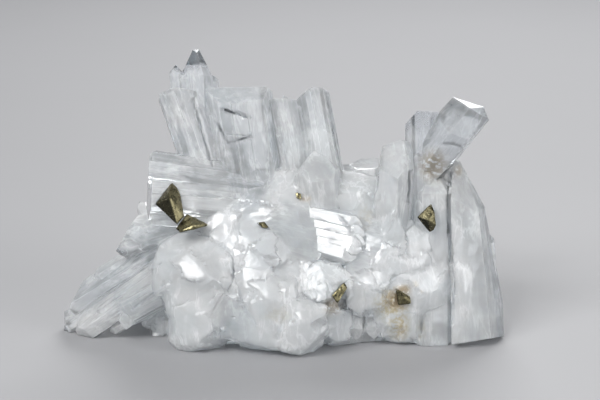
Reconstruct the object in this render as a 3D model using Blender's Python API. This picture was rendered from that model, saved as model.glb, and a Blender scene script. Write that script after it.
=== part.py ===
"""A hand-sized specimen of quartz crystals with small pyrite crystals grown into it.

Lengths in the layout are millimetres. The specimen is laid out in its front view, which looks
down on it a little, and then stood on its broken base with +Z up and the viewer at -Y. The
origin is at the middle of the base.
"""

import math
import random

import bmesh
import bpy
from mathutils import Matrix, Vector

MM = 0.001  # one millimetre in metres

# The front view that the layout is measured in.
VIEW_TILT = math.radians(15)  # how far the front view looks down on the specimen
VIEW_DISTANCE = 333.0  # from the eye to the layout's middle plane
EYE_LEVEL = 30.6  # the layout height that the eye looks straight at
LOOKED_AT = Vector((3.55, 3.25, 24.9))  # the point of the specimen that the eye looks straight at
ACROSS = Vector((1, 0, 0))
UPWARD = Vector((0, math.sin(VIEW_TILT), math.cos(VIEW_TILT)))
AWAY = Vector((0, math.cos(VIEW_TILT), -math.sin(VIEW_TILT)))

# Quartz: the faces of a tip lean in from the crystal's length by this angle.
TIP_SLOPE = math.radians(38.2)
BLANK = 60.0  # half the size of the block that each crystal is carved from

# How far each of the six faces of a tip is set in, in half widths, starting with the one nearest
# the viewer and going round to the right.
THREE_BIG = (0.0, -0.35, 0.0, -0.35, 0.0, -0.35)
EVEN = (0.0, 0.0, 0.0, 0.0, 0.0, 0.0)
NO_TIP = (-4.0, -4.0, -4.0, -4.0, -4.0, -4.0)
REGULAR = (1.0, 1.0, 1.0, 1.0, 1.0, 1.0)

# Thin crystals in parallel with a big one, as parts of its half width or of its length.
RIB_THICKNESS = (0.18, 0.45)
RIB_PROUD = (0.02, 0.06)
RIB_SPREAD = 0.42
RIB_LENGTH = (0.6, 1.1)

LATHS = 5  # the flat crystals that lie in steps in the middle
LATH_DROP = 1.7  # how much lower each of them lies than the one before
LATH_BEND = 0.3  # how much sooner the outer ones end

SMALL_CRYSTALS = 22  # the ones between the big crystals of the back

PYRITE_GAP = 0.3  # clearance between a pyrite crystal and its pocket


def spot(across, up, behind):
    """The place seen that far across and up in the front view, that far behind its middle plane."""
    spread = 1 + behind / VIEW_DISTANCE
    return (
        LOOKED_AT
        + ACROSS * (across * spread)
        + UPWARD * ((up - EYE_LEVEL) * spread)
        + AWAY * behind
    )


def facing(right, up, out):
    """A direction given as parts to the right, upwards and out towards the viewer."""
    return (ACROSS * right + UPWARD * up - AWAY * out).normalized()


def carved(planes, middle, reach=BLANK):
    """The convex solid that is left of a block when everything beyond each plane is cut off."""
    body = bmesh.new()
    bmesh.ops.create_cube(body, size=2 * reach, matrix=Matrix.Translation(middle))
    for point, normal in planes:
        cut = bmesh.ops.bisect_plane(
            body,
            geom=body.verts[:] + body.edges[:] + body.faces[:],
            dist=1e-5,
            plane_co=point,
            plane_no=normal,
            clear_outer=True,
        )
        rim = [e for e in cut["geom_cut"] if isinstance(e, bmesh.types.BMEdge)]
        if rim:
            bmesh.ops.contextual_create(body, geom=rim)
    bmesh.ops.recalc_face_normals(body, faces=body.faces[:])
    return body


def as_object(body, name, collection):
    """The carved solid as an object in metres."""
    bmesh.ops.scale(body, vec=(MM, MM, MM), verts=body.verts[:])
    mesh = bpy.data.meshes.new(name)
    body.to_mesh(mesh)
    body.free()
    made = bpy.data.objects.new(name, mesh)
    collection.objects.link(made)
    return made


def directions_of(low, high):
    """A crystal's own directions: along it, out of its front, and to the right of that."""
    along = (high - low).normalized()
    front = -AWAY + along * AWAY.dot(along)
    if front.length < 0.3:
        front = UPWARD - along * UPWARD.dot(along)
    front.normalize()
    right = along.cross(front)
    if right.dot(ACROSS + UPWARD * 0.2) < 0:
        right = -right
    return along, front, right


def prism(low, high, directions, half, turn, flat=1.0, sides=REGULAR, heads=THREE_BIG, taper=0):
    """The planes around a six-sided prism and its tip. half is half its width across its flats."""
    along, front, right = directions
    lean = math.radians(taper)
    planes = [(low, -along)]
    for k in range(6):
        angle = math.radians(turn + 60 * k)
        side = front * math.cos(angle) + right * math.sin(angle)
        reach = half * sides[k] * math.hypot(flat * math.cos(angle), math.sin(angle))
        planes.append((low + side * reach, side * math.cos(lean) + along * math.sin(lean)))
        slope = side * math.cos(TIP_SLOPE) + along * math.sin(TIP_SLOPE)
        planes.append((high - along * (heads[k] * half), slope))
    return planes


def crystal(name, foot, tip, width, turn=0, flat=1.0, sides=REGULAR, heads=THREE_BIG,
            breaks=(), taper=0, ribs=0):
    """One six-sided quartz crystal. foot and tip are layout places, width is across its flats and
    turn is how far its front face looks to the right. flat is its thickness over its width, and
    sides stretches or shrinks it at each of its six sides. Each of breaks is a place and a
    facing: the crystal is broken off there. taper is how much it narrows to its tip, in degrees.
    ribs is how many thin crystals grow along its sides, in parallel with it."""
    low, high = spot(*foot), spot(*tip)
    directions = directions_of(low, high)
    along, front, right = directions
    half = width / 2
    broken = [(spot(*place), facing(*looking)) for place, looking in breaks]
    planes = prism(low, high, directions, half, turn, flat, sides, heads, taper)
    as_object(carved(planes + broken, (low + high) / 2), name, growth)
    dice = random.Random(name)
    for rib in range(ribs):
        k = (rib * 5 + dice.randrange(2)) % 6
        angle = math.radians(turn + 60 * k)
        side = front * math.cos(angle) + right * math.sin(angle)
        reach = half * sides[k] * math.hypot(flat * math.cos(angle), math.sin(angle))
        thickness = half * dice.uniform(*RIB_THICKNESS)
        proud = half * dice.uniform(*RIB_PROUD)
        aside = half * dice.uniform(-RIB_SPREAD, RIB_SPREAD)
        start = low + side * (reach + proud - thickness) + along.cross(side) * aside
        end = start + (high - low) * dice.uniform(*RIB_LENGTH)
        planes = prism(start, end, directions, thickness, turn)
        as_object(carved(planes + broken, (start + end) / 2), f"{name}_rib_{rib + 1}", growth)


def hull_of(corners):
    """The solid that its corners in the layout span."""
    body = bmesh.new()
    for corner in corners:
        body.verts.new(spot(*corner))
    spanned = bmesh.ops.convex_hull(body, input=body.verts[:])
    unused = [v for v in spanned["geom_interior"] if isinstance(v, bmesh.types.BMVert)]
    bmesh.ops.delete(body, geom=unused, context="VERTS")
    bmesh.ops.recalc_face_normals(body, faces=body.faces[:])
    return body


def faceted(name, corners):
    """A quartz crystal, or a broken mass of quartz, given by its corners in the layout."""
    return as_object(hull_of(corners), name, growth)


def pyrite(name, corners, finish):
    """A pyrite crystal given by its corners, and the slightly larger pocket that it sits in."""
    body = hull_of(corners)
    middle = sum((v.co for v in body.verts), Vector()) / len(body.verts)
    planes = [(f.verts[0].co + f.normal * PYRITE_GAP, f.normal.copy()) for f in body.faces]
    as_object(carved(planes, middle), f"{name}_pocket", pockets)
    made = as_object(body, name, bpy.context.scene.collection)
    made.data.materials.append(finish)


def lump(name, place, size, seed, collection, cuts=18, roughness=0.2):
    """A broken mass of quartz: a block of that size with its sides struck off at random."""
    dice = random.Random(seed)
    middle = spot(*place)
    planes = []
    for _ in range(cuts):
        way = Vector((dice.gauss(0, 1), dice.gauss(0, 1), dice.gauss(0, 1))).normalized()
        reach = Vector((way.x * size[0], way.y * size[1], way.z * size[2])).length / 2
        planes.append((middle + way * reach * (1 - roughness * dice.random()), way))
    for axis in range(3):
        for side in (-1, 1):
            way = Vector([side if k == axis else 0 for k in range(3)])
            planes.append((middle + way * size[axis] / 2, way))
    return as_object(carved(planes, middle), name, collection)


def collection_of(name):
    """A new collection in the scene."""
    made = bpy.data.collections.new(name)
    bpy.context.scene.collection.children.link(made)
    return made


def material(name, colour, roughness, metallic):
    """A plain finish: colour, roughness and metallic value."""
    made = bpy.data.materials.new(name)
    made.use_nodes = True
    shader = made.node_tree.nodes["Principled BSDF"]
    shader.inputs["Base Color"].default_value = (*colour, 1)
    shader.inputs["Roughness"].default_value = roughness
    shader.inputs["Metallic"].default_value = metallic
    return made


def top_crystals():
    """The crystals that stand highest on the left, leaning to the left."""
    faceted("crown_point", [
        (-21.5, 60.6, -6.4), (-20.2, 60.7, -6.4), (-20.6, 60.0, -7.6),
        (-23.4, 56.4, -6.8), (-21.4, 55.4, -9.6), (-19.3, 55.6, -9.8), (-17.4, 55.2, -7.0),
        (-22.4, 57.0, -3.9), (-18.6, 56.6, -3.9),
        (-22.9, 44, -5), (-21, 44, -7.6), (-18.9, 44, -7.8), (-17, 44, -5.2),
        (-21.9, 44, -2.4), (-18.2, 44, -2.4)])
    crystal("crown_left", (-24.0, 44, -5), (-25.0, 57.6, -7), 2.2, turn=14,
            heads=(0.5, 0, -0.4, -0.4, 0, 0.2))
    crystal("crown_middle", (-21.9, 44, -5), (-23.2, 57.0, -7), 2.7, turn=-12,
            heads=(0.3, -0.2, -0.4, -0.4, -0.2, 0.2))
    crystal("crown_edge", (-16.4, 44, -4), (-17.6, 55.6, -5), 2.2, turn=20)
    crystal("left_block", (-15.1, 26, -5), (-25.8, 57, -9), 8.4, turn=-18, flat=0.8, heads=NO_TIP,
            sides=(1, 0.8, 1, 1, 1, 1),
            breaks=[((-24, 52.3, -8), (0.03, 1, -0.12)), ((-28.3, 50.6, -8), (-0.9, 0.42, 0)),
                    ((-27.2, 51.9, -8), (-0.42, 0.9, 0))], ribs=4)
    crystal("middle_block", (-8.6, 26, -5), (-13.2, 57, -8), 12.6, turn=4, flat=0.66, heads=NO_TIP,
            breaks=[((-13, 53.1, -8), (-0.02, 1, -0.2)), ((-12, 49.4, -12.4), (0, 0.72, 0.7)),
                    ((-6.2, 52.8, -8), (0.6, 0.8, 0))], ribs=5)
    crystal("between_block", (1.2, 26, -6), (-4.8, 57, -8), 5.6, turn=-14, heads=NO_TIP,
            breaks=[((-2, 50.5, -8), (0.02, 1, -0.1)), ((-5, 51.4, -8), (-0.6, 0.8, 0))], ribs=3)
    crystal("notch_point", (-2, 40, -8), (-3.2, 51.5, -9.6), 1.7, turn=10)
    crystal("right_block", (7.0, 26, -6), (1.2, 57, -8), 6.2, turn=12, heads=NO_TIP,
            breaks=[((3, 52.4, -8), (0, 1, -0.2)), ((0.2, 51.4, -8), (-0.62, 0.78, 0))], ribs=4)
    crystal("inner_peak", (5.6, 16, -6), (2.8, 40.6, -10.6), 8.6, turn=8)


def right_crystals():
    """The crystals of the right side, which stand upright, and the big tip that leans out."""
    faceted("chisel_point", [
        (16.4, 41.4, -10.2), (20.0, 42.6, -9.6), (20.8, 42.4, -9.8),
        (21.6, 37.6, -12.8), (19.6, 34.8, -14.4), (16.0, 36.8, -12.8),
        (22.2, 42.2, -8.4), (22.8, 37.0, -9.4), (22.0, 36.2, -12.0),
        (17.0, 41.0, -6.0), (21.5, 41.5, -6.0), (15.6, 37, -8),
        (14.2, 16, -11.2), (18.4, 16, -14.2), (21.0, 16, -12.0), (22.0, 16, -8.6),
        (15.4, 16, -4.5), (19.5, 16, -4.0)])
    faceted("great_point", [
        (34.0, 49.0, -19.0), (29.8, 44.0, -17.6), (33.8, 42.6, -16.9), (28.2, 46.2, -15.7),
        (28.0, 48.4, -14.9), (30.6, 51.2, -15.7), (36.8, 49.2, -17.2), (37.8, 46.6, -17.0),
        (31.5, 48.4, -12.4), (35.6, 47.0, -13.4),
        (22.0, 33.4, -5.7), (24.8, 31.3, -4.4), (25.3, 30.9, -0.5), (23.8, 32.1, 2.1),
        (20.8, 34.3, 1.2), (20.3, 34.7, -2.4)])
    crystal("rear_point", (24.8, 22, -5), (24.6, 51.0, -7), 6.2, turn=-14,
            breaks=[((24, 48.3, -7), (0.05, 1, 0)), ((22.1, 47, -7), (-0.75, 0.66, 0))], ribs=2)
    crystal("great_prism", (26.2, -2, -5), (26.4, 37.6, -6.2), 8.8, turn=4, heads=EVEN, ribs=3)
    crystal("rear_prism", (29.6, 10, 0), (29.2, 38.4, -2.4), 6.0, turn=16)
    faceted("shoulder_prism", [
        (30.6, 39.0, -7.6), (32.0, 38.4, -7.2), (35.0, 31.0, -6.4), (37.0, 29.2, -6.2),
        (30.2, 31.0, -11.2), (35.8, 28.0, -10.3), (30.2, 1.6, -12.0), (38.2, 2.9, -10.6),
        (39.6, 3.8, -2.0), (33, 6, 3.5), (37, 25, -2), (31, 32, -2)])
    faceted("edge_prism", [
        (36.8, 29.6, -5.6), (37.4, 25.2, -4.4), (38.4, 20.6, -4.0), (40.5, 10.8, -3.4),
        (40.8, 3.4, -5.2), (36.0, 27.6, -9.9), (38.3, 3.0, -10.0), (36, 27, 0), (38, 5, 2)])
    crystal("corner_prism", (38.6, -2, -3), (36.6, 24.6, -4), 4.0, turn=26)
    crystal("saddle_left", (10, 22, -3), (9.2, 44, -4), 5.4, turn=12, heads=NO_TIP,
            breaks=[((9, 36.9, -4), (0.02, 1, 0.3))], ribs=2)
    crystal("saddle_right", (14, 22, -3), (13.4, 46, -4), 6.4, turn=-12, heads=NO_TIP,
            breaks=[((13, 37.7, -4), (-0.1, 1, 0.35))], ribs=2)
    faceted("saddle_front", [
        (7.6, 36.4, -8.0), (10.6, 34.6, -9.6), (15.8, 35.0, -8.4), (15.0, 24.6, -12.6),
        (12.0, 22.6, -13.4), (8.6, 27.6, -13.2), (6.0, 33.6, -11.4), (7, 35, -2), (16, 33, -2),
        (8, 20, -2), (16, 20, -2)])


def left_wing():
    """The crystals that reach out low to the left."""
    crystal("wing_ridge", (-24, 25.6, -5), (-41.4, 14.4, -4), 3.0, turn=15)
    crystal("wing_upper", (-24, 22.5, -6), (-48, 7.6, -1), 6.4, turn=20, flat=0.8,
            breaks=[((-44.6, 11.2, 0), (-0.9, 0.43, 0)), ((-46.4, 8, 0), (-1, 0.05, 0))], ribs=3)
    crystal("wing_grey", (-24, 19.5, -8), (-48.0, 4.8, 0), 4.4, turn=0,
            breaks=[((-47.2, 6, 0), (-1, 0, 0.2))], ribs=2)
    crystal("wing_bright", (-22, 19.6, -11), (-44.6, 3.6, -3), 5.0, turn=25, ribs=3)
    crystal("wing_lower", (-20, 17.5, -9), (-38.2, 7.4, -4.6), 7.6, turn=15, ribs=3)
    crystal("wing_clear", (-29, 22.5, -6), (-36.8, 20.4, -9), 3.4, turn=30)
    crystal("wing_shoulder", (-22, 26.4, -5), (-35.6, 22.6, -8), 6.5, turn=10, ribs=2)
    crystal("wing_foot", (-33.6, 12, -5), (-34.8, 4.6, -8), 3.6, turn=0)
    crystal("wing_back_foot", (-28, 12, 2), (-28.4, 2.4, -4), 6, turn=0)


def front_faces():
    """The stout crystals and broken masses of the middle and the front."""
    crystal("side_upper", (2, 32.4, -5), (-36, 37.6, -10), 7.2, turn=24, heads=NO_TIP,
            breaks=[((-30.3, 36, -9), (-1, 0.03, 0.1)), ((-29.6, 39.6, -9), (-0.8, 0.6, 0))], ribs=4)
    crystal("side_middle", (4, 29.4, -4), (-36, 32.0, -9.6), 8.6, turn=4, heads=NO_TIP,
            breaks=[((-30.1, 32, -9), (-1, 0.05, 0.2))], ribs=4)
    crystal("side_lower", (2, 26.0, -4), (-36, 28.6, -9), 6.0, turn=-14, heads=NO_TIP,
            breaks=[((-29.8, 28, -9), (-1, -0.04, 0.1))], ribs=3)
    faceted("left_dome", [
        (-29.6, 20.6, -12), (-27.4, 23, -11), (-20, 23.8, -11.5), (-15.6, 21.8, -13.5),
        (-13.8, 18.2, -15), (-13.4, 14.2, -15.5), (-14.8, 12.2, -16), (-25, 9.6, -14.5),
        (-29.6, 12.6, -11.5), (-21, 18.2, -17.2), (-17, 14.6, -18.2), (-25, 14.6, -16),
        (-20, 21.6, -14.6), (-28, 11, -3), (-27, 23, -3), (-14, 23, -3), (-14, 11, -3)])
    faceted("left_foot", [
        (-26.4, 11.0, -12.5), (-26.4, 3.6, -11.6), (-24.0, 0.8, -14.8), (-20.0, 1.0, -15.2),
        (-15.6, 2.4, -15.0), (-17.4, 8.2, -17.2), (-15.0, 12.4, -17.0), (-22.0, 6.6, -16.4),
        (-27, 12, -3), (-14, 12, -3), (-26, 0, -3), (-14, 0, -3)])
    faceted("dark_face", [
        (-15.0, 12.4, -16.2), (-17.4, 8.2, -16.6), (-15.6, 2.2, -14.6), (-9.0, 5.6, -17.2),
        (-8.0, 1.4, -15.4), (-12.0, 10.6, -17.6), (-16, 12, -5), (-8, 0, -5), (-8, 12, -5)])
    faceted("bright_face", [
        (-13.4, 15.6, -16), (-12, 10.4, -18), (-9, 5.6, -18.2), (-11, 2.2, -16), (-8, 1.5, -16.6),
        (-4, 1.3, -17), (-1, 8, -18.6), (-1, 14, -18), (-4, 17, -16.6), (-10, 17.6, -16),
        (-8, 12, -19.2), (-12, 17, -5), (-1, 17, -5), (-12, 0, -5), (-1, 0, -5)])
    faceted("front_core", [
        (-26, 21, -12.6), (-26.4, 7, -13.0), (-18, 3.4, -14.0), (-6, 2.4, -15.8), (3, 3, -16.2),
        (8, 5, -14.6), (8.6, 17, -14.0), (0, 21.6, -14.0), (-14, 22.4, -13.2), (-9, 10, -16.8),
        (2, 11, -16.6), (-26, 21, 0), (-26, 5, 0), (8, 3, 0), (8, 20, 0)])
    faceted("frosted_lump", [
        (-13.6, 22.6, -13.5), (-12, 25.4, -12.5), (-8.4, 26.2, -12.5), (-5, 25, -12.8),
        (-2.8, 22, -14), (-3.2, 18.2, -15.5), (-7.6, 16.6, -17.2), (-12.4, 17.4, -15.5),
        (-8.4, 21.6, -16.6), (-11, 20.8, -16), (-13, 16, -5), (-3, 16, -5), (-12, 25, -5),
        (-4, 25, -5)])
    faceted("middle_mass", [
        (-9.6, 34.4, -9.4), (-4.6, 37.0, -8.4), (0, 37.6, -9.4), (6.2, 37.0, -9.4),
        (9.4, 31, -11), (8.6, 25, -12), (-0.6, 28.6, -13.6), (1.0, 23.6, -14.6), (3.4, 18.4, -15.2),
        (-5, 17, -14.2), (-12, 26, -12.6), (-8, 29, -13.0), (-20, 23.4, -11.6), (-18, 27, -11.6),
        (-8, 35, -2), (8, 35, -2), (-18, 18, -2), (8, 16, -2)])
    for step in range(LATHS):
        drop = LATH_DROP * step
        bend = LATH_BEND * (step - 1.5) ** 2
        crystal(f"lath_{step + 1}", (-4.6 + 0.8 * step, 29.4 - drop, -9.8 - 0.3 * step),
                (13.2 - bend, 25.2 - drop + 0.3 * bend, -14.0 - 0.3 * step), 3.6, turn=10)
    faceted("sparkling_point", [
        (1, 15.6, -16), (4, 18.2, -15.6), (8, 18, -15.4), (9.8, 15.4, -15), (9, 13, -15.6),
        (6.6, 11, -17.2), (4.4, 10, -18.2), (2.4, 10.2, -18.2), (1.4, 12.6, -17.6),
        (5, 14.8, -18.6), (1, 18, -5), (9, 18, -5), (1, 8, -5), (9, 8, -5)])
    faceted("front_foot", [
        (-3.4, 10.6, -18), (0, 10.8, -19), (1, 10, -19.6), (6, 8.6, -18.4), (3.6, 2.6, -17.8),
        (2, 0.2, -17.7), (-0.6, 0, -18), (-3.4, 0.2, -17.5), (-3.8, 3.6, -18), (0, 4.6, -20.2),
        (-4, 10, -5), (6, 9, -5), (-4, 0, -5), (4, 0, -5)])
    faceted("foot_block", [
        (5.6, 9.0, -16.8), (9.2, 8.2, -15.4), (10, 2.6, -11.6), (6.4, 1.8, -12.6), (5.8, 3, -14.4),
        (5, 10, -4), (11, 9, -4), (10, 1, -4), (5, 1, -4)])
    crystal("tan_prism_left", (11.2, 16, -8), (11.2, 2.6, -9.6), 3.4, turn=10)
    crystal("tan_prism_right", (14.6, 16, -8), (14.8, 2.8, -9.6), 3.8, turn=-8)
    faceted("cheek", [
        (9, 18.2, -14.5), (13, 24.2, -13), (18, 27, -12.0), (22.5, 26.6, -11.4),
        (25.6, 23.6, -11.0), (25.2, 10.6, -11.4), (22.0, 8.2, -12.6), (16, 8.2, -14.2),
        (10, 8.6, -15.2), (9, 13, -15.6), (18.6, 17.6, -15.6), (15, 13.6, -16.2),
        (22.4, 14.6, -13.8), (17, 22.6, -14.2),
        (10, 22, -4), (28, 24, -4), (10, 7, -4), (28, 7, -4)])
    faceted("cheek_foot", [
        (15.2, 8.4, -13.8), (23.6, 8.4, -13.6), (24.0, 2.0, -11.2), (16.4, 3.0, -10.4),
        (15, 9, -3), (24, 9, -3), (24, 2, -3), (16, 2, -3)])


def back_crystals():
    """The crystals of the back, which spread out and away from the viewer."""
    crystal("back_left", (-20, 14, 2), (-26.4, 31, 10.5), 8.6, turn=150, ribs=3)
    crystal("back_tall", (-10, 22, 0), (-17.6, 49, 1.6), 8.4, turn=200, ribs=3)
    crystal("back_wide", (-8, 12, 4), (-12.6, 36.6, 15.4), 11.0, turn=170, ribs=4)
    crystal("back_middle", (-2, 20, 2), (-3.4, 44.4, 4.8), 8.0, turn=185, ribs=3)
    crystal("back_low", (0, 8, 4), (0.6, 26.6, 19), 9.0, turn=165, ribs=3)
    crystal("back_slant", (6, 14, 3), (8.4, 34.6, 12.6), 8.0, turn=190, ribs=3)
    crystal("back_right", (14, 10, 2), (17.6, 31.4, 14), 9.6, turn=178, ribs=3)
    crystal("back_stout", (24, 8, 2), (26.8, 33, 8.4), 9.6, turn=186, ribs=3)
    crystal("back_corner", (30, 8, 2), (35.6, 20.6, 12), 8.0, turn=160, ribs=3)
    crystal("back_spur", (21, 12, 4), (22.6, 21, 19), 5.6, turn=175)
    crystal("back_wing", (-26, 12, 2), (-40.4, 12.4, 7.4), 6.4, turn=140, ribs=3)
    crystal("back_wing_low", (-22, 9, 4), (-34.2, 8.4, 13), 7.0, turn=190, ribs=3)
    crystal("back_foot_left", (-16, 10, 6), (-19.4, 13.6, 19), 9.0, turn=200, ribs=3)
    crystal("back_saddle", (10, 22, 0), (11.4, 37.4, 6.4), 7.0, turn=170)
    crystal("back_edge", (31, 10, 0), (38.6, 17.6, 6.5), 6.4, turn=190)
    crystal("back_foot_corner", (24, 6, 4), (28.6, 12.6, 15), 7.6, turn=175)
    crystal("back_foot_middle", (-4, 6, 6), (-7.6, 14.6, 20.4), 7.6, turn=190)
    crystal("back_foot_right", (12, 8, 6), (11.4, 13.4, 19.6), 10.0, turn=150, ribs=3)


def small_back_crystals():
    """The small crystals that fill in between the big ones of the back."""
    dice = random.Random(8)
    for small in range(SMALL_CRYSTALS):
        across = -31 + 68 * (small + dice.uniform(0.2, 0.8)) / SMALL_CRYSTALS
        up = dice.uniform(9, 27)
        bulge = math.sqrt(1 - (across / 46) ** 2)
        crystal(f"back_small_{small + 1}", (across * 0.85, up - 5, 3),
                (across + dice.uniform(-3, 3), up + dice.uniform(-1, 6),
                 dice.uniform(12.5, 17.5) * bulge), dice.uniform(2.4, 4.8),
                turn=dice.uniform(0, 60))


def chip(name, corners):
    """A broken-out place, given by the corners of what is missing."""
    as_object(hull_of(corners), name, chips)


def cracks():
    """The cracks and chips of the broken block at the top."""
    chip("crack_upper", [
        (-15.6, 49.2, -13.0), (-15.2, 48.6, -13.0), (-10.2, 47.3, -13.0), (-9.6, 46.6, -13.0),
        (-15.0, 48.6, -10.9), (-10.2, 46.8, -10.9)])
    chip("chip_lower", [
        (-16.4, 45.8, -13.0), (-14.4, 41.4, -13.4), (-13.4, 43.4, -13.0), (-9.4, 44.1, -13.0),
        (-9.6, 42.7, -13.0), (-14.6, 43.6, -10.8), (-10.4, 43.4, -11.0)])


def pyrites(finish):
    """The pyrite crystals, each in its pocket in the quartz."""
    pyrite("pyrite_main", [
        (-28.6, 29.8, -12.8), (-27.8, 30.7, -12.9), (-26.0, 32.2, -13.9), (-25.6, 33.8, -12.8),
        (-24.8, 33.0, -12.6), (-24.0, 31.2, -12.8), (-23.8, 29.6, -13.2), (-23.4, 27.4, -13.4),
        (-26.0, 30.8, -14.9), (-24.6, 26.0, -14.4),
        (-27.0, 30, -9.6), (-24.6, 31, -9.6), (-24.6, 27.6, -10.2)], finish)
    pyrite("pyrite_wedge", [
        (-24.6, 24.9, -13.8), (-22.8, 26.9, -13.4), (-22.5, 27.6, -13.0), (-21.4, 25.4, -15.2),
        (-22.0, 24.7, -15.2), (-23.9, 24.3, -14.8), (-18.6, 25.6, -13.6),
        (-22.8, 25.6, -10.6), (-20.4, 25.8, -11)], finish)
    pyrite("pyrite_dark", [
        (23.7, 27.2, -11.8), (24.8, 28.1, -12.0), (26.2, 29.6, -11.6), (26.7, 28.0, -12.4),
        (27.0, 25.6, -12.2), (26.6, 24.8, -12.0), (26.0, 24.4, -12.0), (25.6, 26.6, -13.0),
        (25.4, 27.6, -8.6), (26.2, 26, -8.6)], finish)
    pyrite("pyrite_gold", [
        (6.6, 11.4, -17.4), (8.8, 13.9, -16.4), (9.2, 13.0, -16.8), (7.4, 10.2, -17.4),
        (7.4, 12.2, -14.6), (8.4, 11.6, -14.6)], finish)
    pyrite("pyrite_stained", [
        (19.4, 12.5, -14.9), (21.8, 11.2, -14.0), (22.0, 10.0, -13.8), (19.8, 9.8, -14.6),
        (20.6, 11.2, -15.0), (20.2, 11.4, -11.8), (21.2, 10.6, -11.4)], finish)
    pyrite("pyrite_speck_middle", [
        (-0.7, 31.9, -12.8), (0.1, 31.7, -12.8), (0.0, 30.9, -13.0), (-0.5, 31.0, -13.1),
        (-0.2, 31.4, -11.2)], finish)
    pyrite("pyrite_speck_left", [
        (-8.1, 25.9, -13.4), (-7.2, 26.0, -13.4), (-6.5, 25.1, -13.6), (-7.4, 25.2, -14.0),
        (-7.4, 25.4, -11.6)], finish)


def tool(solid):
    """Leave a solid that only shapes another one out of the model itself."""
    solid.hide_render = True
    solid.display_type = "WIRE"


def join_or_cut(solid, label, operation, collection):
    """Join a collection of solids to this one, or cut them out of it."""
    step = solid.modifiers.new(label, "BOOLEAN")
    step.operation = operation
    step.operand_type = "COLLECTION"
    step.collection = collection
    step.solver = "MANIFOLD"  # EXACT leaves open edges where so many crystals meet
    for part in collection.objects:
        tool(part)


def main():
    quartz_finish = material("quartz", (0.80, 0.83, 0.85), 0.15, 0.0)
    pyrite_finish = material("pyrite", (0.45, 0.36, 0.16), 0.28, 1.0)
    quartz = lump("quartz_cluster", (-14, 18, 0), (34, 28, 26), 3, bpy.context.scene.collection)
    quartz.data.materials.append(quartz_finish)
    lump("core_right", (16, 16, 0), (42, 28, 26), 4, growth)
    lump("core_upper", (-7, 29, 1), (30, 18, 20), 5, growth)
    lump("core_foot", (0, 6, 4), (56, 26, 12), 6, growth)
    top_crystals()
    right_crystals()
    left_wing()
    front_faces()
    back_crystals()
    small_back_crystals()
    cracks()
    pyrites(pyrite_finish)
    as_object(carved([], Vector((0, 0, -BLANK))), "below_the_floor", floor)
    join_or_cut(quartz, "crystals grown together", "UNION", growth)
    join_or_cut(quartz, "cracks and chips", "DIFFERENCE", chips)
    join_or_cut(quartz, "pockets of the pyrite", "DIFFERENCE", pockets)
    join_or_cut(quartz, "flat on the floor", "DIFFERENCE", floor)


for old in list(bpy.data.objects):
    bpy.data.objects.remove(old)
growth = collection_of("quartz growth")
pockets = collection_of("pyrite pockets")
chips = collection_of("chips")
floor = collection_of("floor")
main()
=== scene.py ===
import math

import bmesh
import bpy
import numpy as np
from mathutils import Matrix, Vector
from mathutils.bvhtree import BVHTree
from mathutils.kdtree import KDTree


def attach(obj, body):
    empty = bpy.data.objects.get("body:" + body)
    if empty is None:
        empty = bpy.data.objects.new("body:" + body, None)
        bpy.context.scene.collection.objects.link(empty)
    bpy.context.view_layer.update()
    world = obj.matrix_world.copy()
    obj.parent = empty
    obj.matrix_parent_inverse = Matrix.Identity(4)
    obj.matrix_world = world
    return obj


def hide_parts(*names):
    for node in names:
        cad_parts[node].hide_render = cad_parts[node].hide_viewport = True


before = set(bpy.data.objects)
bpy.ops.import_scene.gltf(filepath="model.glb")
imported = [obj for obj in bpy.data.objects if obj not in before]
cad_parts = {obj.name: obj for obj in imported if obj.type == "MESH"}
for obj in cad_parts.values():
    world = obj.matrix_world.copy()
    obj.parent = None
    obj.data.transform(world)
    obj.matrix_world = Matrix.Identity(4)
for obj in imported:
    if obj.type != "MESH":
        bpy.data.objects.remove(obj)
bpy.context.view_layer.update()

mm = 0.001

# The specimen's front view. Its layout is in millimetres: across to the right, up, and how far
# behind the middle plane.
front = {
    "tilt": 15,  # degrees that the view looks down
    "distance": 333,
    "eyeLevel": 30.6,
    "lookedAt": (3.55, 3.25, 24.9),
    "seenWidth": 120,  # how wide a strip of the middle plane the picture shows
    "sensor": 36,
}
tilt = math.radians(front["tilt"])
rightward = np.array((1, 0, 0))
upward = np.array((0, math.sin(tilt), math.cos(tilt)))
away = np.array((0, math.cos(tilt), -math.sin(tilt)))
lookedAt = np.array(front["lookedAt"])


def spot(across, up, behind):
    # the place in mm that is seen there in the front view
    spread = 1 + behind / front["distance"]
    return (lookedAt + rightward * (across * spread) + upward * ((up - front["eyeLevel"]) * spread)
            + away * behind)


def layoutOf(points):
    # across, up and behind of each point in mm
    offset = points - lookedAt
    behind = offset @ away
    spread = 1 + behind / front["distance"]
    return np.stack((offset @ rightward / spread, offset @ upward / spread + front["eyeLevel"], behind), 1)


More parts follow.
